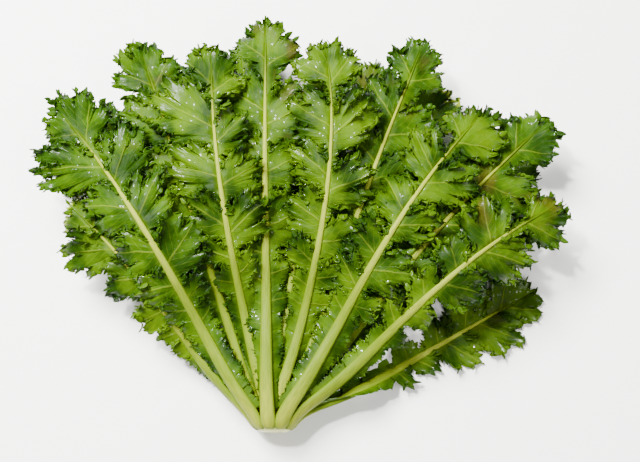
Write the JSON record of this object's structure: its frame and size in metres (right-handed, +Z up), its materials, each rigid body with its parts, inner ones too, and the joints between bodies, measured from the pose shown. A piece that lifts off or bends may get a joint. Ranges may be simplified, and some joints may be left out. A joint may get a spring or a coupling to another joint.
{
  "type": "curly endive head",
  "caption": "Head of curly endive cut at the stump and lying flat as a fan of leaves, backs up, with pale ribs and toothed, waved, deeply cut blades",
  "frame": {"origin": "on the surface the head lies on, under the middle of its bounding box", "axes": "+Y from the stump to the leaf tips, +Z up away from the surface, +X to the right of the fan seen from above with the stump towards the viewer"},
  "size_m": [0.3846, 0.2946, 0.0831],
  "materials": {
    "outer_leaf": "thin waxy leaf blade and rib, mid green, stands in for plant tissue",
    "inner_leaf": "pale yellow-green heart leaf, stands in for plant tissue",
    "stump": "moist cream stump with a dried cut face, stands in for plant tissue"
  },
  "bodies": {
    "root": {"leaf_bottom_1": "outer_leaf", "leaf_bottom_2": "outer_leaf", "leaf_bottom_3": "outer_leaf", "leaf_bottom_4": "outer_leaf", "leaf_bottom_5": "outer_leaf", "leaf_heart_1": "inner_leaf", "leaf_heart_2": "inner_leaf", "leaf_heart_3": "inner_leaf", "leaf_heart_4": "inner_leaf", "leaf_heart_5": "inner_leaf", "leaf_heart_6": "inner_leaf", "leaf_heart_7": "inner_leaf", "leaf_heart_8": "inner_leaf", "leaf_second_1": "outer_leaf", "leaf_second_2": "outer_leaf", "leaf_second_3": "outer_leaf", "leaf_second_4": "outer_leaf", "leaf_second_5": "outer_leaf", "leaf_top_1": "outer_leaf", "leaf_top_2": "outer_leaf", "leaf_top_3": "outer_leaf", "leaf_top_4": "outer_leaf", "leaf_top_5": "outer_leaf", "leaf_under_1": "outer_leaf", "leaf_under_2": "outer_leaf", "leaf_under_3": "outer_leaf", "leaf_under_4": "outer_leaf", "stump": "stump"}
  },
  "joints": []
}
